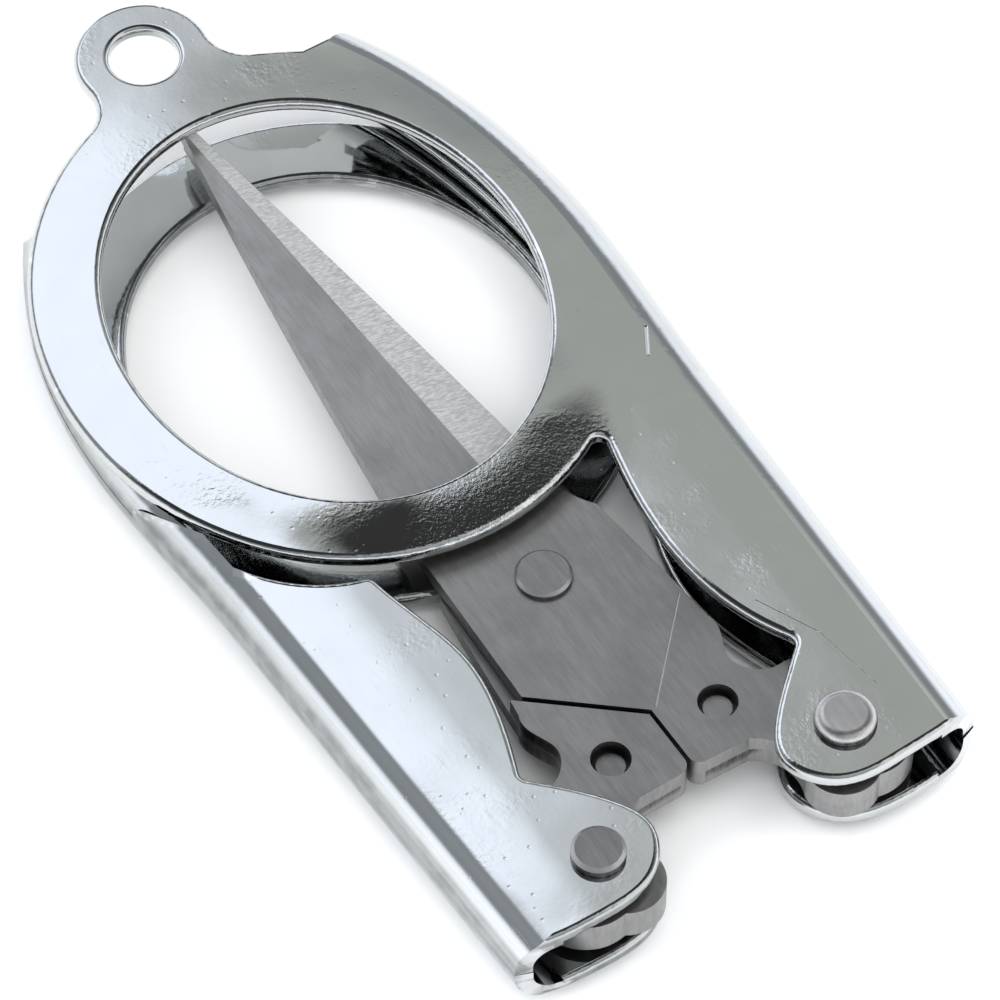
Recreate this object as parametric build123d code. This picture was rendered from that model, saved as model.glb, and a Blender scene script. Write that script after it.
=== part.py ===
from build123d import *
import math
import os

# Folding pocket scissors, shown folded: two blades on a central rivet, and two
# folded sheet-steel handles that swing on rivets in the blades' tangs.
# Millimetres. While modelling, the blade pivot is at X = Y = 0, Z = 0 is the plane
# where the two blades meet, +Y runs to the blade tips and +Z is the front.
# Everything is moved at the end so the origin is under the middle of the object.
# The back handle and the lower blade are drawn like the front ones and turned over.

# ---- thicknesses and clearances ----------------------------------------------
half_height = 3.15          # from the blade plane to the outside of a handle plate
sheet = 1.1                 # handle sheet
blade_top = 1.3             # upper face of the upper blade
blade_gap = 0.05            # from the blade plane to either blade
fold_radius = 2.6           # outside radius where a plate folds into the wall
lip_level = 1.8             # how far past the blade plane a wall reaches beside the other ring
lip_radius = 2.2            # outside radius where the wall folds into its lip
lip_width = 3.9             # from the outside of the wall to the edge of the lip
running_gap = 0.05          # radial clearance of a shaft in a turning hole
head_gap = 0.03             # clearance under a rivet head

# ---- rivets ------------------------------------------------------------------
handle_rivet_x = 9.4
handle_rivet_y = -20.9
handle_rivet_radius = 1.3
dome_head_radius = 2.07
dome_head_height = 0.85
flat_head_radius = 1.78
flat_head_height = 0.75
flat_head_bevel = 0.25
pivot_radius = 1.2
pivot_head_radius = 1.9
pivot_head_height = 0.5
pivot_head_bevel = 0.2

# ---- blades ------------------------------------------------------------------
edge_thickness = 0.3        # left at the cutting edge
shoulder_gap = 0.36         # between a blade's sloping shoulder and the other tang
tang_split = 0.15           # half the gap between the two tangs
shoulder_x = 6.32           # outer end of a blade's sloping shoulder
shoulder_y = -7.2
shoulder_foot_y = -12.55    # where the shoulder meets the split between the tangs
tang_hole_x = 4.11
tang_hole_y = -14.3
tang_hole_radius = 1.34
boss_radius = 0.97
boss_height = 0.5

# ---- handles -----------------------------------------------------------------
end_y = -24.5               # level of the handle ends at the wall
waist_y = 7.5               # the wall is straight below this and bows outward above it
widest_y = 23.0             # where a handle is widest
rim_radius = 0.42           # rounding of the free edges of a handle plate
joggle_gap = 0.45           # between the deep part of a handle and the other ring
lip_start_y = 19.0
tab_y = 50.65
tab_radius = 4.8
tab_x = -0.15
lanyard_radius = 2.4
lanyard_x = -0.1

front_wall = dict(end_x=17.4, waist_x=18.35, widest_x=19.15, shoulder=(17.6, 36.05), corner=(13.9, 45.5))
back_wall = dict(end_x=17.6, waist_x=18.8, widest_x=19.85, shoulder=(18.0, 35.5), corner=(14.2, 43.25))
front_ring = dict(x=-0.6, y=26.1, hole_a=14.45, hole_b=17.3, outer_a=19.4, outer_b=22.1, lean=5.5)
back_ring = dict(x=0.0, y=24.6, hole_a=14.35, hole_b=15.9, outer_a=19.5, outer_b=20.9, lean=4.0)


def slab(face, low, high):
    """Extrude a flat face from one height to another."""
    return Pos(0, 0, low) * extrude(face, high - low)


def pin_hole(x, y, radius):
    """Cutter for a round hole through everything."""
    return Pos(x, y) * Cylinder(radius, 20)


def oval(ring, a, b):
    """Oval face about a ring's centre, leaning from +Y toward the handle's wall."""
    return Pos(ring["x"], ring["y"]) * Rot(0, 0, -ring["lean"]) * make_face(Ellipse(a, b).edges())


def outer_oval(ring, grow=0.0):
    """Outer outline of a ring, or a line outside it."""
    return oval(ring, ring["outer_a"] + grow, ring["outer_b"] + grow)


def turned_over(ring):
    """The same ring seen in the other handle's coordinates."""
    return dict(ring, x=-ring["x"], lean=-ring["lean"])


def wall_line(wall, inset):
    """Outside line of the wall, straight below its waist, or a line set inward from it."""
    slope = (wall["waist_x"] - wall["end_x"]) / (waist_y - end_y)
    waist = (wall["waist_x"], waist_y)
    foot = (wall["end_x"] - 8 * slope, end_y - 8)
    corner_x, corner_y = wall["corner"]
    beyond = (corner_x - 4.2, corner_y + 6)
    knots = [waist, (wall["widest_x"], widest_y), wall["shoulder"], wall["corner"], beyond]
    ends = [(slope, 1), (-0.62, 0.78)]
    bow = Spline(*knots, tangents=ends)
    straight = Line(foot, waist)
    if inset:
        aside = [bow @ (i / 6) + (bow % (i / 6)).rotate(Axis.Z, 90) * inset for i in range(7)]
        low = straight @ 0 + (straight % 0).rotate(Axis.Z, 90) * inset
        straight = Line(low, aside[0])
        bow = Spline(*aside, tangents=ends)
    return straight, bow


def wall_region(wall, inset=0.0):
    """Everything on the inner side of the wall line, which may be set inward."""
    straight, bow = wall_line(wall, inset)
    foot = straight @ 0
    top = bow @ 1
    rest = Polyline(top, (top.X, 62), (-46, 62), (-46, foot.Y), foot)
    return make_face([straight, bow, *rest.edges()])


def wall_band(wall, width):
    """Strip of the given width along the inner side of the wall line."""
    return wall_region(wall) - wall_region(wall, width)


def rounded_block(wall, inset, low, high, low_radius, high_radius):
    """Block behind the wall line, rounded into the wall at its back and front."""
    block = slab(wall_region(wall, inset), low, high)
    for level, radius in ((high, high_radius), (low, low_radius)):
        rims = [e for e in block.edges() if abs(e.center().Z - level) < 0.01]
        rims = [e for e in rims if e.bounding_box().size.Z < 0.01 and (e @ 0.5).X > 8]
        rims = [e for e in rims if abs((e @ 0).Y - (e @ 1).Y) > 8 and (e @ 0.5).Y < 48]
        block = fillet(rims, radius)
    return block


def rounded_plate(face, low, high, corners=()):
    """Sheet cut to a flat outline, some corners eased, its free edges rounded on both sides."""
    plate = slab(face, low, high)
    for x, y, radius in corners:
        upright = plate.edges().filter_by(Axis.Z).sort_by_distance((x, y, low))[0]
        plate = fillet(upright, radius)
    flat_edges = [e for e in plate.edges() if e.bounding_box().size.Z < 0.01]
    return fillet(flat_edges, rim_radius)


def channel(wall, other_ring):
    """The folded channel before its two plates are cut to shape."""
    inner = half_height - sheet
    far_down = -2 * half_height
    # Beside the other handle's ring the channel is shallower and ends in a lip.
    high_part = slab(Pos(0, 72) * Rectangle(120, 100), far_down, 0)
    beside = slab(outer_oval(other_ring, joggle_gap), far_down, 0) + high_part
    shallow = rounded_block(wall, 0, -lip_level, half_height, lip_radius, fold_radius)
    outside = rounded_block(wall, 0, -half_height, half_height, fold_radius, fold_radius)
    outside = outside - (beside - shallow)
    beside_inside = slab(outer_oval(other_ring, joggle_gap + sheet), far_down, 0)
    beside_inside = beside_inside + Pos(0, -sheet) * high_part
    shallow_inside = rounded_block(
        wall, sheet, sheet - lip_level, inner, lip_radius - sheet, fold_radius - sheet
    )
    inside = rounded_block(wall, sheet, -inner, inner, fold_radius - sheet, fold_radius - sheet)
    inside = inside - (beside_inside - shallow_inside)
    return outside - inside


def ring_plate(wall, ring, foot_knots, with_tab):
    """Outline of the plate that carries the finger ring."""
    top_y = wall["corner"][1] - 0.2
    edge = Spline((9.7, 8.8), (7.56, -1.1), (7.7, -6.6), (10.4, -13.9))
    foot = Spline((10.4, -13.9), *foot_knots, (20.5, -22.0))
    rest = Polyline((20.5, -22.0), (27, -22.0), (27, top_y), (7, top_y), (7, 43), (9.7, 8.8))
    plate = outer_oval(ring) + make_face([edge, foot, *rest.edges()])
    if with_tab:
        plate = plate + Pos(tab_x, tab_y) * Circle(tab_radius)
        plate = plate - Pos(lanyard_x, tab_y) * Circle(lanyard_radius)
    return plate - oval(ring, ring["hole_a"], ring["hole_b"])


def strip_plate(foot_knots):
    """Outline of the narrow inturned strip that faces the ring plate."""
    edge = Spline((10.1, 5.0), (9.0, 0.4), (8.2, -3.8), (8.8, -8.6), (10.4, -13.4))
    foot = Spline((10.4, -13.4), *foot_knots, (20.5, -22.0))
    rest = Polyline((20.5, -22.0), (27, -22.0), (27, 17.4), (18.9, 17.4))
    top = Spline((18.9, 17.4), (17.9, 12.0), (15.1, 7.8), (10.1, 5.0))
    return make_face([edge, foot, *rest.edges(), top])


def handle(wall, ring, other_ring, ring_foot, strip_foot, with_tab):
    """One folded sheet handle with its wall on the +X side and its ring in front."""
    inner = half_height - sheet
    shell = channel(wall, other_ring)
    fold_band = wall_band(wall, fold_radius + 0.5)
    ring_face = ring_plate(wall, ring, ring_foot, with_tab)
    necks = [(-4.1, 48, 3.2), (4.1, 48, 3.2)] if with_tab else []
    eased = [*necks, (9.2, 7.2, 0.6), (10.4, -13.9, 0.7)]
    front = rounded_plate(ring_face, inner, half_height, eased)
    front = front + slab(ring_face & fold_band, 0, inner + 0.5)
    strip_face = strip_plate(strip_foot)
    strip = rounded_plate(strip_face, -half_height, -inner, [(10.1, 5.0, 0.8), (10.4, -13.4, 0.7)])
    strip = strip + slab(strip_face & fold_band, -inner - 0.5, 0)
    # The wall goes on past the strip; its free upper end is cut slanting.
    corner_x, corner_y = wall["corner"]
    reach = 30
    slant = Polyline((corner_x + 0.1, corner_y), (corner_x - reach, corner_y - reach),
                     (corner_x - reach, -22), (30, -22), (30, corner_y), close=True)
    below_slant = make_face(slant)
    web = slab(wall_band(wall, 1.7) & below_slant, -half_height, 0)
    lip_face = wall_band(wall, lip_width) & below_slant
    lip_face = lip_face & (Pos(20, lip_start_y + 20) * Rectangle(40, 40))
    lip = slab(lip_face, -lip_level, sheet - lip_level)
    long_edges = [e for e in lip.edges() if e.length > 15]
    lip = fillet(ShapeList(long_edges).sort_by(Axis.X)[:2], rim_radius)
    lip = lip + slab(lip_face & wall_band(wall, lip_radius + 0.4), sheet - lip_level - 0.5, 0)
    body = (shell & front) + (shell & (strip + web)) + (shell & lip)
    return body - pin_hole(handle_rivet_x, handle_rivet_y, handle_rivet_radius + running_gap)


def front_handle():
    """Handle with the upper ring and the lanyard tab."""
    ring_foot = [(6.3, -17.7), (4.4, -21.3), (6.4, -24.3), (11.5, -24.95), (16.0, -24.5)]
    strip_foot = [(6.3, -17.9), (5.3, -20.8), (7.3, -24.1), (11.5, -25.1), (15.7, -24.7)]
    return handle(front_wall, front_ring, turned_over(back_ring), ring_foot, strip_foot, True)


def back_handle():
    """Handle with the lower ring, drawn like the front one and turned over."""
    ring_foot = [(6.6, -17.5), (5.0, -21.2), (7.0, -24.2), (11.5, -25.05), (15.7, -24.65)]
    strip_foot = [(6.3, -17.9), (5.2, -20.8), (7.3, -24.0), (11.5, -24.8), (16.0, -24.5)]
    drawn = handle(back_wall, back_ring, turned_over(front_ring), ring_foot, strip_foot, False)
    return Rot(0, 180, 0) * drawn


def tang_foot():
    """Tang outline from its outer side, round the rivet, to the split in the middle."""
    notch = Spline((7.27, -8.3), (7.15, -10.2), (6.6, -11.9), (7.2, -13.2), (9.4, -14.0))
    outer = ThreePointArc((9.4, -14.0), (13.4, -16.3), (14.0, -20.9))
    lower = ThreePointArc((14.0, -20.9), (12.7, -23.9), (9.7, -24.55))
    heel = ThreePointArc((9.7, -24.55), (6.6, -24.4), (5.75, -22.0))
    inner = ThreePointArc((5.75, -22.0), (5.5, -18.9), (4.2, -17.78))
    sole = Line((4.2, -17.78), (1.0, -17.7))
    toe = ThreePointArc((1.0, -17.7), (0.4, -17.45), (tang_split, -16.8))
    return [notch, outer, lower, heel, inner, sole, toe]


def flat_blade(tip, spine, edge):
    """Outline of one blade with its pivot plate and its tang."""
    tip_left, tip_right = tip
    corner = (6.1, 3.0)
    back = Spline(tip_left, *spine)
    shoulder = Polyline(back @ 1, (-6.0, 4.4), (-shoulder_x, shoulder_y),
                        (tang_split, shoulder_foot_y), (tang_split, -16.8))
    side = Spline(corner, (6.5, -0.3), (7.27, -8.3))
    choil = ThreePointArc(edge[-1], (edge[-1][0] + 0.15, 4.6), corner)
    front = Spline(tip_right, *edge)
    end = Line(tip_left, tip_right)
    return make_face([end, front, choil, side, *tang_foot(), *shoulder.edges(), back])


def ground_bevel(foot_x, edge_x):
    """What the grinding takes off between the bevel line and the cutting edge."""
    foot = Vector(foot_x, 9.5, blade_top)
    tip = Vector(-0.5, 43, blade_top)
    along = tip - foot
    across = Vector(edge_x, 9.5, blade_gap + edge_thickness) - foot
    plane = Plane(origin=foot, x_dir=along, z_dir=across.cross(along))
    return plane * Pos(30, 0, 3) * Box(60, 24, 6)


def tang_spacer_outline():
    """Doubler under a tang, cut along the other blade's sloping shoulder."""
    rise = (shoulder_y - shoulder_foot_y) / (shoulder_x + tang_split)
    drop = shoulder_gap * math.hypot(1, rise)
    outer_x = 7.1
    outer_y = shoulder_y - drop + rise * (outer_x - shoulder_x)
    inner_y = shoulder_y - drop + rise * (tang_split - shoulder_x)
    foot = tang_foot()
    rest = Polyline((tang_split, -16.8), (tang_split, inner_y), (outer_x, outer_y), (7.27, -8.3))
    return make_face([*foot, *rest.edges()])


def blade(outline, bevel, pivot_hole, tang_mark):
    """One blade, its face upward, with its holes."""
    body = slab(outline, blade_gap, blade_top) - bevel
    body = body - pin_hole(0, 0, pivot_hole)
    body = body - pin_hole(handle_rivet_x, handle_rivet_y, handle_rivet_radius)
    return tang_mark(body)


def with_hole(body):
    """Punch the round hole of a tang."""
    return body - pin_hole(tang_hole_x, tang_hole_y, tang_hole_radius)


def with_boss(body):
    """Push a round boss toward the other layer of the tang, with its dimple behind."""
    down = body.bounding_box().min.Z > 0
    face = blade_gap
    back = blade_top if down else -blade_top
    way = -1 if down else 1
    boss = Pos(tang_hole_x, tang_hole_y, face + way * boss_height / 2) * Cylinder(boss_radius, boss_height)
    dimple = Pos(tang_hole_x, tang_hole_y, back) * Cylinder(boss_radius, 2 * boss_height)
    return body + boss - dimple


def tang_spacer(tang_mark):
    """Doubler filling the other half of a tang's thickness."""
    body = slab(tang_spacer_outline(), -blade_top, blade_gap)
    body = body - pin_hole(handle_rivet_x, handle_rivet_y, handle_rivet_radius)
    return tang_mark(body)


def upper_blade():
    """Front blade, spine on the left."""
    tip = ((-0.6, 45.3), (0.0, 45.6))
    spine = [(-3.3, 28.0), (-5.38, 11.05)]
    edge = [(2.35, 30.0), (4.95, 10.6)]
    outline = flat_blade(tip, spine, edge)
    return blade(outline, ground_bevel(1.33, 5.1), pivot_radius, with_hole)


def lower_blade():
    """Back blade, a little slimmer, turned over so its spine is on the right."""
    tip = ((-0.2, 44.6), (0.5, 44.9))
    spine = [(-2.3, 28.0), (-4.5, 11.05)]
    edge = [(2.2, 30.0), (4.4, 10.6)]
    outline = flat_blade(tip, spine, edge)
    drawn = blade(outline, ground_bevel(1.2, 4.5), pivot_radius + running_gap, with_boss)
    return Rot(0, 180, 0) * drawn


def flat_rivet_head(radius, height, bevel, level):
    """Round head with a bevelled rim, standing on the given level."""
    head = Pos(0, 0, level + height / 2) * Cylinder(radius, height)
    return chamfer(head.edges().group_by(Axis.Z)[-1], bevel)


def domed_rivet_head(radius, height, level):
    """Round head with a domed top, standing on the given level."""
    head = Pos(0, 0, level + height / 2) * Cylinder(radius, height)
    return fillet(head.edges().group_by(Axis.Z)[-1], 0.8 * height)


def handle_rivet(x, front_head):
    """Rivet through both plates of a handle and a tang."""
    level = half_height + head_gap
    back_head = flat_rivet_head(flat_head_radius, flat_head_height, flat_head_bevel, level)
    shank = Cylinder(handle_rivet_radius, 2 * level)
    return Pos(x, handle_rivet_y) * (shank + front_head + Rot(0, 180, 0) * back_head)


def front_handle_rivet():
    """Domed rivet of the front handle."""
    level = half_height + head_gap
    return handle_rivet(handle_rivet_x, domed_rivet_head(dome_head_radius, dome_head_height, level))


def back_handle_rivet():
    """Flat-headed rivet of the back handle."""
    level = half_height + head_gap
    head = flat_rivet_head(flat_head_radius, flat_head_height, flat_head_bevel, level)
    return handle_rivet(-handle_rivet_x, head)


def pivot_rivet():
    """Rivet the two blades turn on."""
    head = flat_rivet_head(pivot_head_radius, pivot_head_height, pivot_head_bevel, blade_top)
    lower = flat_rivet_head(pivot_head_radius, pivot_head_height, pivot_head_bevel, blade_top + head_gap)
    shank = Pos(0, 0, -head_gap / 2) * Cylinder(pivot_radius, 2 * blade_top + head_gap)
    return shank + head + Rot(0, 180, 0) * lower


pieces = {
    "upper_blade": upper_blade(),
    "lower_blade": lower_blade(),
    "upper_tang_spacer": tang_spacer(with_boss),
    "lower_tang_spacer": Rot(0, 180, 0) * tang_spacer(with_hole),
    "pivot_rivet": pivot_rivet(),
    "front_handle_rivet": front_handle_rivet(),
    "back_handle_rivet": back_handle_rivet(),
    "front_handle": front_handle(),
    "back_handle": back_handle(),
}

# Move the origin to the middle of the underside of the whole folded object.
boxes = [piece.bounding_box() for piece in pieces.values()]
middle_x = (min(b.min.X for b in boxes) + max(b.max.X for b in boxes)) / 2
middle_y = (min(b.min.Y for b in boxes) + max(b.max.Y for b in boxes)) / 2
lowest = min(b.min.Z for b in boxes)

os.makedirs("parts", exist_ok=True)
for name, piece in pieces.items():
    export_step(Pos(-middle_x, -middle_y, -lowest) * piece, f"parts/{name}.step")
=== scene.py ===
import math

import bmesh
import bpy
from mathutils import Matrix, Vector


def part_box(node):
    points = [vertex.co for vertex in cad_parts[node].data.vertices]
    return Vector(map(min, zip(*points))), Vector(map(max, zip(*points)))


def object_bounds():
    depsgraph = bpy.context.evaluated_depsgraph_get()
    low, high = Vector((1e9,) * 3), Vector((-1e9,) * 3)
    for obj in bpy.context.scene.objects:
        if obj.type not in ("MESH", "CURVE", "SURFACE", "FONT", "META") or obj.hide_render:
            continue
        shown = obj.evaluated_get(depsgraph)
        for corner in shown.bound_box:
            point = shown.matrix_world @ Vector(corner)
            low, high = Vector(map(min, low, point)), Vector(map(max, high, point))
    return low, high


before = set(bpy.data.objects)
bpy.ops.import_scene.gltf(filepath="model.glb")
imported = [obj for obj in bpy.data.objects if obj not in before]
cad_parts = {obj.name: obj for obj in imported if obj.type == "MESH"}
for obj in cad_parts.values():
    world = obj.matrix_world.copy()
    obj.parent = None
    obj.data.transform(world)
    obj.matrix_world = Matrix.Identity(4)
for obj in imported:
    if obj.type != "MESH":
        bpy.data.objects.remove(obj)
cad_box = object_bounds()
low, high = (Vector(corner) for corner in cad_box)
centre = (low + high) / 2
MM = 0.001
scene = bpy.context.scene

# the pivot of the two blades, just under the upper blade
BELOW_UPPER_BLADE = 0.05 * MM
rivet_low, rivet_high = (Vector(corner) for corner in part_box("pivot_rivet"))
blade_low = Vector(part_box("upper_blade")[0])
pivot = Vector((
    (rivet_low.x + rivet_high.x) / 2,
    (rivet_low.y + rivet_high.y) / 2,
    blade_low.z - BELOW_UPPER_BLADE,
))


# ---------- a helper for node trees ----------

class Graph:
    """Builds the node tree of a material or world with short calls."""

    def __init__(self, owner, space="Object"):
        owner.use_nodes = True
        self.owner = owner
        self.tree = owner.node_tree
        self.tree.nodes.clear()
        self.coordinates = self.node("ShaderNodeTexCoord").outputs[space]

    def node(self, kind, **settings):
        made = self.tree.nodes.new(kind)
        for key, value in settings.items():
            setattr(made, key, value)
        return made

    def set(self, socket, value):
        if isinstance(value, bpy.types.NodeSocket):
            self.tree.links.new(value, socket)
        else:
            socket.default_value = value

    def stretched(self, scale, turn=0.0):
        """Coordinates scaled along each axis, after a turn about z in radians."""
        mapping = self.node("ShaderNodeMapping")
        self.set(mapping.inputs["Vector"], self.coordinates)
        mapping.inputs["Rotation"].default_value = (0, 0, turn)
        mapping.inputs["Scale"].default_value = scale
        return mapping.outputs["Vector"]

    def noise(self, size, detail=2.0, rough=0.5, vector=None):
        """Noise whose blobs are about `size` metres across."""
        made = self.node("ShaderNodeTexNoise")
        self.set(made.inputs["Vector"], vector or self.coordinates)
        made.inputs["Scale"].default_value = 1 / size
        made.inputs["Detail"].default_value = detail
        made.inputs["Roughness"].default_value = rough
        return made.outputs["Fac"]

    def cells(self, size, vector):
        """0 at scattered points about `size` metres apart, more away from them."""
        made = self.node("ShaderNodeTexVoronoi")
        self.set(made.inputs["Vector"], vector)
        made.inputs["Scale"].default_value = 1 / size
        return made.outputs["Distance"]

    def remap(self, value, a, b, c=0.0, d=1.0):
        """Eases from `c` to `d` as the value goes from `a` to `b`."""
        made = self.node("ShaderNodeMapRange", interpolation_type="SMOOTHSTEP")
        self.set(made.inputs["Value"], value)
        for name, number in zip(("From Min", "From Max", "To Min", "To Max"), (a, b, c, d)):
            self.set(made.inputs[name], number)
        return made.outputs["Result"]

    def math(self, operation, *values):
        made = self.node("ShaderNodeMath", operation=operation)
        for socket, value in zip(made.inputs, values):
            self.set(socket, value)
        return made.outputs[0]

    def axis(self, vector, index):
        made = self.node("ShaderNodeSeparateXYZ")
        self.set(made.inputs[0], vector)
        return made.outputs[index]

    def mix(self, factor, first, second):
        made = self.node("ShaderNodeMix", data_type="RGBA")
        self.set(made.inputs["Factor"], factor)
        self.set(made.inputs["A"], first)
        self.set(made.inputs["B"], second)
        return made.outputs["Result"]

    def bump(self, height, distance, under):
        """Raises the surface by `distance` where `height` is 1."""
        made = self.node("ShaderNodeBump")
        made.inputs["Distance"].default_value = distance
        self.set(made.inputs["Height"], height)
        self.set(made.inputs["Normal"], under)
        return made.outputs["Normal"]

    def sink(self, mask, distance, under):
        """Lowers the surface by `distance` where `mask` is 1."""
        return self.bump(self.math("SUBTRACT", 1.0, mask), distance, under)

    def about(self, x, y):
        """Coordinates measured from a point given in millimetres from the blade pivot."""
        made = self.node("ShaderNodeVectorMath", operation="SUBTRACT")
        self.set(made.inputs[0], self.coordinates)
        made.inputs[1].default_value = (pivot.x + x * MM, pivot.y + y * MM, 0)
        return made.outputs[0]

    def oval_radius(self, x, y, a, b):
        """1 on an upright oval about a point, less inside and more outside it."""
        scaled = self.node("ShaderNodeVectorMath", operation="MULTIPLY")
        self.set(scaled.inputs[0], self.about(x, y))
        scaled.inputs[1].default_value = (1 / (a * MM), 1 / (b * MM), 0)
        length = self.node("ShaderNodeVectorMath", operation="LENGTH")
        self.set(length.inputs[0], scaled.outputs[0])
        return length.outputs["Value"]

    def line(self, start, end, width):
        """1 along a straight line between two points in millimetres from the pivot."""
        dx, dy = end[0] - start[0], end[1] - start[1]
        turned = self.node("ShaderNodeVectorRotate", rotation_type="Z_AXIS")
        middle = self.about((start[0] + end[0]) / 2, (start[1] + end[1]) / 2)
        self.set(turned.inputs["Vector"], middle)
        turned.inputs["Angle"].default_value = -math.atan2(dy, dx)
        along = self.math("ABSOLUTE", self.axis(turned.outputs[0], 0))
        aside = self.math("ABSOLUTE", self.axis(turned.outputs[0], 1))
        half = math.hypot(dx, dy) / 2 * MM
        inside = self.remap(along, half, half * 0.85)
        return self.math("MULTIPLY", inside, self.remap(aside, width * MM / 2, width * MM / 5))

    def upright(self):
        """1 on faces that look straight up or down, 0 on side walls, before any bump."""
        normal = self.node("ShaderNodeTexCoord").outputs["Normal"]
        return self.math("ABSOLUTE", self.axis(normal, 2))

    def true_upright(self, geometry):
        return self.math("ABSOLUTE", self.axis(geometry.outputs["True Normal"], 2))

    def clean_normal(self):
        """The smooth normal, but exactly flat on the flat faces of the sheet."""
        geometry = self.node("ShaderNodeNewGeometry")
        made = self.node("ShaderNodeMix", data_type="VECTOR")
        flat = self.math("GREATER_THAN", self.true_upright(geometry), 0.99999)
        self.set(made.inputs["Factor"], flat)
        self.set(made.inputs["A"], geometry.outputs["Normal"])
        self.set(made.inputs["B"], geometry.outputs["True Normal"])
        return made.outputs["Result"]

    def painted_corner_shade(self, distance, start, end, most):
        """Painted shade: up to `most` in corners less open than `start`, 0 where more open than
        `end`.
        """
        made = self.node("ShaderNodeAmbientOcclusion", samples=8)
        made.inputs["Distance"].default_value = distance
        return self.remap(made.outputs["AO"], start, end, most, 0.0)

    def painted_edge_highlight(self, start, end, most):
        """Painted highlight: rises to `most` on outside edges; 0 on the flat faces and in inside
        corners.
        """
        geometry = self.node("ShaderNodeNewGeometry")
        rounded = self.math("LESS_THAN", self.true_upright(geometry), 0.9999)
        sharp = self.remap(geometry.outputs["Pointiness"], start, end, 0.0, most)
        return self.math("MULTIPLY", rounded, sharp)

    def finish(self, **sockets):
        """Adds the shader; `Base_Color` sets its Base Color, and so on."""
        shader = self.node("ShaderNodeBsdfPrincipled")
        for name, value in sockets.items():
            self.set(shader.inputs[name.replace("_", " ")], value)
        output = self.node("ShaderNodeOutputMaterial")
        self.set(output.inputs["Surface"], shader.outputs[0])
        return self.owner


def grey(level, warm=0.0):
    return (level * (1 + warm), level, level * (1 - warm), 1)


# ---------- chrome plating over stamped sheet ----------

# ovals in millimetres from the blade pivot: centre x and y, half width, half height
UPPER_RING = (-0.6, 26.1, 16.9, 19.7)
LOWER_RING = (0.0, 24.6, 16.9, 18.4)
PRESSED_DISH = (-0.6, 12.0, 9.0, 8.0)
PEBBLED_PATCH = (1.0, 5.6, 9.0, 3.6)

# the faces droop a little between these distances from the middle line
CROWN_START = 11.5 * MM
CROWN_END = 18.5 * MM

# marks narrower than this are broken up, in millimetres
HAIRLINE = 0.2

LIGHT_PLATING = (0.57, 0.585, 0.58, 1)
DARK_PLATING = (0.545, 0.56, 0.553, 1)
# painted shade for the side walls
SHADED_WALL_PLATING = (0.17, 0.18, 0.18, 1)
# painted shade for inside corners
PLATING_CORNER_SHADE = (0.12, 0.123, 0.12, 1)
# painted highlight for outside edges
EDGE_HIGHLIGHT_PLATING = (0.85, 0.86, 0.87, 1)


def plating_relief(g, place, patches, ring, dish, peeled):
    """The normals of the stamped and plated sheet."""
    # the stamped ring falls away a little all round, and the sheet waves slowly
    fall = g.remap(g.oval_radius(*ring), 0.80, 1.20)
    crown = g.remap(g.math("ABSOLUTE", g.axis(g.about(0, 0), 0)), CROWN_START, CROWN_END)
    press = g.remap(g.oval_radius(*PRESSED_DISH), 0.5, 1.5)
    wave = g.noise(13 * MM, 1.0, 0.4, place)
    ripple = g.noise(3.5 * MM, 1.0, 0.5, place)
    # orange peel, stronger in patches and towards the blades, and fine pits
    peel = g.noise(0.36 * MM, 2.0, 0.55, place)
    pebbled = g.remap(g.oval_radius(*PEBBLED_PATCH), 1.15, 0.6)
    pebbles = g.math("MULTIPLY", g.noise(0.21 * MM, 2.0, 0.6, place), pebbled)
    strength = g.math("ADD", 0.12, g.math("MAXIMUM", patches, pebbled))
    pits = g.remap(g.cells(1.3 * MM, place), 0.03, 0.12)
    normal = g.sink(fall, 0.34 * MM, g.clean_normal())
    normal = g.sink(crown, 0.17 * MM, normal)
    normal = g.sink(press, 0.75 * MM * dish, normal)
    normal = g.bump(wave, 0.12 * MM, normal)
    normal = g.bump(ripple, 0.012 * MM, normal)
    normal = g.bump(g.math("MULTIPLY", peel, strength), 0.012 * MM * peeled, normal)
    normal = g.bump(pebbles, 0.030 * MM * dish, normal)
    return g.bump(pits, 0.0035 * MM, normal)


def plating_scratches(g, patches):
    """Fine straight scratches in two directions, stronger in the patches."""
    fine = g.noise(0.10 * MM, 1.0, 0.5, g.stretched((1, 0.03, 1), 0.35))
    crossing = g.noise(0.12 * MM, 1.0, 0.5, g.stretched((1, 0.025, 1), -0.9))
    both = g.math("MAXIMUM", g.remap(fine, 0.70, 0.76), g.remap(crossing, 0.72, 0.77))
    return g.math("MULTIPLY", both, g.math("ADD", 0.2, patches))


def plating_colour(g, place, wall_shade):
    """Slightly uneven, with painted shade in inside corners and on the side walls, and a painted
    highlight on edges.
    """
    light = g.remap(g.noise(5 * MM, 3.0, 0.6, place), 0.3, 0.7)
    colour = g.mix(light, DARK_PLATING, LIGHT_PLATING)
    # painted shade: the plating darkens in inside corners
    colour = g.mix(g.painted_corner_shade(1.4 * MM, 0.10, 0.6, 0.55), colour, PLATING_CORNER_SHADE)
    # where the wall setting isn't 0, painted shade darkens the bent side walls against the faces
    side = g.remap(g.upright(), 0.75, 0.15)
    darkened = g.remap(g.noise(1.6 * MM, 2.0, 0.5, place), 0.35, 0.65, wall_shade, wall_shade * 0.75)
    colour = g.mix(g.math("MULTIPLY", side, darkened), colour, SHADED_WALL_PLATING)
    # painted highlight: the outside edges of the plating are lighter
    return g.mix(g.painted_edge_highlight(0.53, 0.60, 0.6), colour, EDGE_HIGHLIGHT_PLATING)


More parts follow.
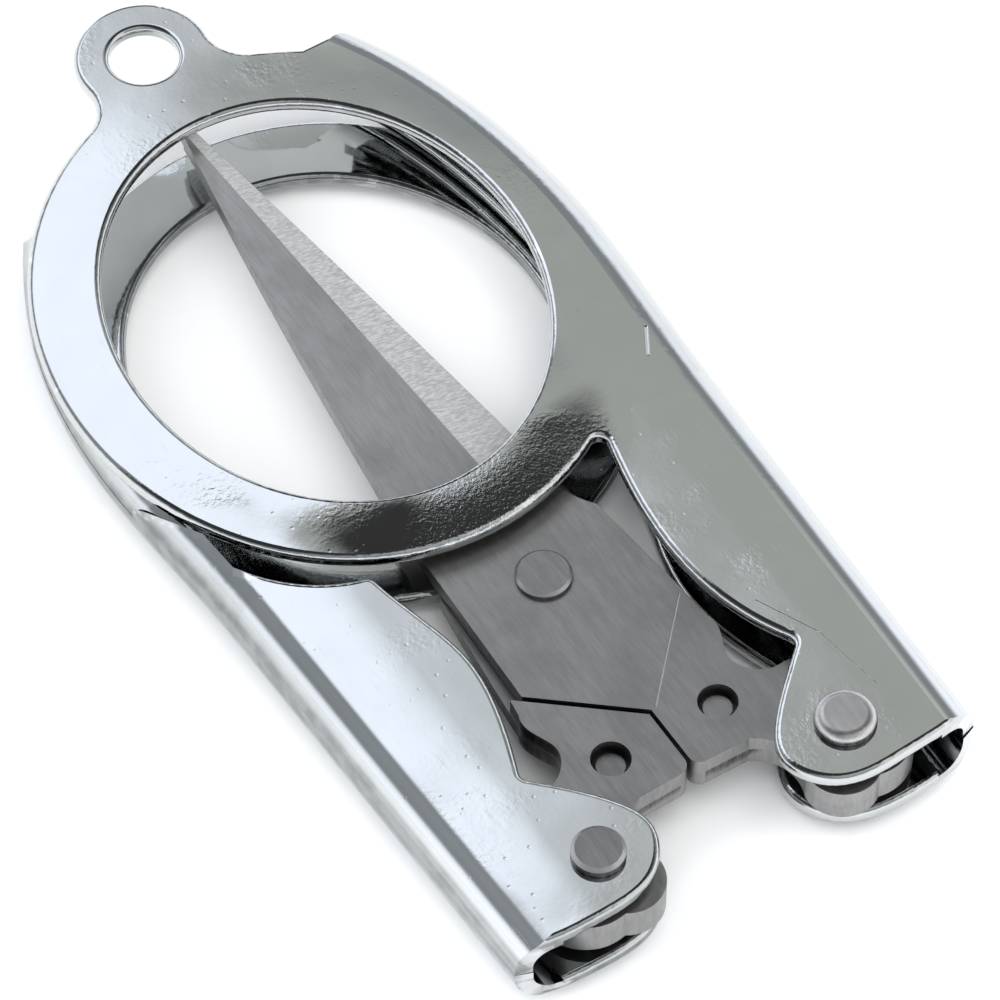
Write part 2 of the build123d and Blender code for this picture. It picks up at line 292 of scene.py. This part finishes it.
def chrome(name, seed, ring, dish, peeled, wall_shade, marks=()):
    """Plated sheet.

    seed shifts the patterns, ring is the oval of the finger ring, dish and peeled scale
    the pressed hollow and the orange peel, the wall setting is how much painted shade
    darkens the side walls, and each mark is a start, an end, a width and a grey level.
    """
    g = Graph(bpy.data.materials.new(name))
    shift = g.node("ShaderNodeVectorMath", operation="ADD")
    g.set(shift.inputs[0], g.coordinates)
    shift.inputs[1].default_value = (seed, -seed * 0.7, seed * 0.4)
    place = shift.outputs[0]
    patches = g.remap(g.noise(6 * MM, 2.0, 0.5, place), 0.50, 0.66)
    normal = plating_relief(g, place, patches, ring, dish, peeled)
    scratches = plating_scratches(g, patches)
    normal = g.sink(scratches, 0.001 * MM, normal)
    rough = g.remap(g.noise(2.4 * MM, 3.0, 0.6, place), 0.3, 0.7, 0.05, 0.085)
    rough = g.math("ADD", rough, g.math("MULTIPLY", scratches, 0.10))
    colour = plating_colour(g, place, wall_shade)
    broken = g.remap(g.noise(1.1 * MM, 2.0, 0.6, place), 0.36, 0.46)
    for start, end, width, shade in marks:
        mark = g.line(start, end, width)
        if width < HAIRLINE:
            mark = g.math("MULTIPLY", mark, broken)
        colour = g.mix(mark, colour, grey(shade))
        normal = g.sink(mark, 0.03 * MM, normal)
    return g.finish(Base_Color=colour, Metallic=1.0, Roughness=rough, Normal=normal)


# ---------- bare steel of blades, doublers and rivets ----------

# the plate round the pivot changes to the blade between these distances above the pivot
PLATE_END = 4 * MM
BLADE_START = 24 * MM


def steel(name, level, grain_turn, ground=False, marks=()):
    """Steel of a grey level, its grain turned by radians; ground adds the bevel's finish."""
    g = Graph(bpy.data.materials.new(name))
    metal = 1.0
    grain = g.noise(0.09 * MM, 2.0, 0.6, g.stretched((1, 0.06, 1), grain_turn))
    streak = g.noise(0.5 * MM, 3.0, 0.6, g.stretched((1, 0.10, 1), grain_turn))
    speckle = g.noise(0.13 * MM, 3.0, 0.7)
    cloud = g.noise(4 * MM, 3.0, 0.55)
    normal = g.bump(grain, 0.0022 * MM, g.clean_normal())
    normal = g.bump(speckle, 0.0016 * MM, normal)
    tone = g.math("ADD", g.math("MULTIPLY", streak, 0.55), g.math("MULTIPLY", grain, 0.45))
    tone = g.remap(tone, 0.3, 0.7)
    colour = g.mix(tone, grey(level * 0.86, 0.03), grey(level * 1.12, 0.025))
    colour = g.mix(g.remap(cloud, 0.38, 0.7, 0.0, 0.45), colour, grey(level * 0.68, 0.03))
    # blanked sides are darker than the flat faces
    upright = g.upright()
    side = g.remap(upright, 0.5, 0.2)
    torn = g.remap(g.noise(0.35 * MM, 3.0, 0.6, g.stretched((1, 1, 0.2))), 0.35, 0.65)
    blanked = g.mix(torn, grey(level * 0.16, 0.04), grey(level * 0.42, 0.03))
    colour = g.mix(side, colour, blanked)
    if ground:
        # the plate round the pivot is duller than the blade
        plate = g.remap(g.axis(g.about(0, 0), 1), PLATE_END, BLADE_START)
        darkened = g.mix(0.28, colour, grey(level * 0.42, 0.04))
        colour = g.mix(plate, darkened, colour)
        # the ground cutting face is brighter, with grinding marks across it
        bevel = g.math("MULTIPLY", g.remap(upright, 0.9995, 0.985), g.remap(upright, 0.85, 0.92))
        ground_lines = g.noise(0.14 * MM, 2.0, 0.6, g.stretched((0.05, 1, 1), -0.45))
        bright = g.mix(g.remap(ground_lines, 0.35, 0.68), grey(0.36), grey(0.68))
        colour = g.mix(bevel, colour, bright)
        metal = g.remap(bevel, 0.0, 1.0, 1.0, 0.45)
        normal = g.bump(g.math("MULTIPLY", ground_lines, bevel), 0.006 * MM, normal)
    for start, end, width, shade in marks:
        mark = g.line(start, end, width)
        colour = g.mix(mark, colour, grey(shade))
        normal = g.sink(mark, 0.02 * MM, normal)
    # painted shade: the steel darkens almost to black in inside corners
    colour = g.mix(g.painted_corner_shade(0.9 * MM, 0.2, 0.7, 0.75), colour, grey(0.012))
    # painted highlight: the outside edges of the steel are lighter
    colour = g.mix(g.painted_edge_highlight(0.52, 0.58, 0.45), colour, grey(0.5))
    rough = g.remap(speckle, 0.3, 0.7, 0.33, 0.45)
    return g.finish(Base_Color=colour, Metallic=metal, Roughness=rough, Normal=normal)


# marks: start and end in millimetres from the pivot, width in millimetres, grey level
front_marks = [
    ((16.16, 12.45), (14.85, 10.2), 0.28, 0.95),
    ((9.8, -10.0), (11.9, -14.4), 0.09, 0.05),
    ((11.9, -14.4), (12.8, -20.2), 0.07, 0.10),
]
upper_marks = [((6.9, -5.7), (0.33, -12.7), 0.12, 0.62)]

tang_spacer_steel = steel("tang_spacer_steel", 0.38, 0.6)
finishes = {
    "front_handle": chrome("chrome_front", 0.013, UPPER_RING, 1.0, 1.0, 0.0, front_marks),
    # painted shade darkens the back handle's side walls; the front handle's get none
    "back_handle": chrome("chrome_back", 0.041, LOWER_RING, 0.1, 0.45, 0.95),
    "upper_blade": steel("blade_upper_steel", 0.455, 0.10, ground=True, marks=upper_marks),
    "lower_blade": steel("blade_lower_steel", 0.38, -0.25, ground=True),
    "upper_tang_spacer": tang_spacer_steel,
    "lower_tang_spacer": tang_spacer_steel,
    "pivot_rivet": steel("pivot_head_steel", 0.36, 1.2),
    "front_handle_rivet": steel("front_rivet_head_steel", 0.66, 0.2),
    "back_handle_rivet": steel("back_rivet_head_steel", 0.34, 1.9),
}
for node, material in finishes.items():
    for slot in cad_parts[node].material_slots:
        slot.material = material


# ---------- floor, light and camera ----------

FLOOR_HALF_SIZE = 3.0
FLOOR_GAP = 0.2 * MM


def floor_material():
    g = Graph(bpy.data.materials.new("floor_white"))
    tint = g.mix(g.noise(0.12), grey(0.93), grey(0.96))
    return g.finish(Base_Color=tint, Roughness=0.9)


def make_floor():
    mesh = bpy.data.meshes.new("floor")
    shape = bmesh.new()
    bmesh.ops.create_grid(shape, x_segments=1, y_segments=1, size=FLOOR_HALF_SIZE)
    shape.to_mesh(mesh)
    shape.free()
    floor = bpy.data.objects.new("floor", mesh)
    scene.collection.objects.link(floor)
    floor.location = (centre.x, centre.y, low.z - FLOOR_GAP)
    mesh.materials.append(floor_material())


def softbox(name, direction, distance, size, power, colour=(1, 1, 1)):
    """An area lamp that looks at the object from `direction`; the plating doesn't mirror it."""
    data = bpy.data.lights.new(name, "AREA")
    data.shape = "RECTANGLE"
    data.size, data.size_y = size
    data.energy = power
    data.color = colour
    lamp = bpy.data.objects.new(name, data)
    scene.collection.objects.link(lamp)
    way = Vector(direction).normalized()
    lamp.location = centre + way * distance
    lamp.rotation_euler = (-way).to_track_quat("-Z", "Y").to_euler()
    lamp.visible_camera = False
    lamp.visible_glossy = False


def sky():
    """The studio that the metal mirrors: pale walls, a grey ceiling, two lights, dark gaps."""
    world = bpy.data.worlds.new("studio")
    scene.world = world
    g = Graph(world, "Generated")
    x, y, z = (g.axis(g.coordinates, index) for index in range(3))
    pale_walls = (1.35, 1.40, 1.50, 1)
    # each patch covers what came before it: its colour, then the ramps that bound it
    dark_band = (0.34, 0.365, 0.385, 1), (z, 0.26, 0.50)
    ceiling = (0.555, 0.575, 0.555, 1), (z, 0.60, 0.72)
    left_slate = (0.36, 0.385, 0.41, 1), (x, -0.20, -0.34), (z, 0.55, 0.65)
    far_doorway = (0.04, 0.042, 0.044, 1), (y, 0.69, 0.76), (x, 0.15, 0.30), (z, 0.18, 0.30)
    near_dark = (0.05, 0.05, 0.052, 1), (y, 0.40, 0.32), (y, -0.40, -0.15), (z, 0.5, 0.8)
    main_light = (
        (1.50, 1.58, 1.78, 1),
        (x, 0.36, 0.22), (x, -0.33, -0.15), (z, 0.56, 0.68), (y, 0.40, 0.46),
    )
    weak_light = (1.1, 1.1, 1.1, 1), (x, 0.25, 0.45), (y, -0.2, -0.4), (z, 0.2, 0.4)
    colour = pale_walls
    for shade, *ramps in (
        dark_band, ceiling, left_slate, far_doorway, near_dark, main_light, weak_light,
    ):
        covered = 1.0
        for ramp in ramps:
            covered = g.math("MULTIPLY", covered, g.remap(*ramp))
        colour = g.mix(covered, colour, shade)
    background = g.node("ShaderNodeBackground")
    g.set(background.inputs["Color"], colour)
    output = g.node("ShaderNodeOutputWorld")
    g.set(output.inputs["Surface"], background.outputs[0])


make_floor()
sky()
softbox("left_soft", (-0.62, 0.42, 0.70), 0.9, (0.7, 0.9), 4.6, (0.97, 0.98, 1.0))
softbox("top_soft", (0.05, -0.25, 1.0), 0.9, (0.8, 0.7), 4.6)
softbox("front_soft", (-0.5, -1.0, 0.9), 1.0, (0.8, 0.6), 2.6)
softbox("right_soft", (1.0, 0.15, 0.6), 1.0, (0.6, 0.8), 2.6)

# from the pivot, in millimetres
CAMERA_PLACE = (-131.45, -200.17, 341.00)
CAMERA_AIM = (1.424, 7.485, 0)

camera_data = bpy.data.cameras.new("camera")
camera_data.lens = 229.547
camera_data.sensor_width = 36
camera_data.clip_start = 0.01
camera = bpy.data.objects.new("camera", camera_data)
scene.collection.objects.link(camera)
camera.location = pivot + Vector(CAMERA_PLACE) * MM
aim = pivot + Vector(CAMERA_AIM) * MM
camera.rotation_euler = (aim - camera.location).to_track_quat("-Z", "Y").to_euler()
scene.camera = camera
scene.view_settings.view_transform = "Standard"
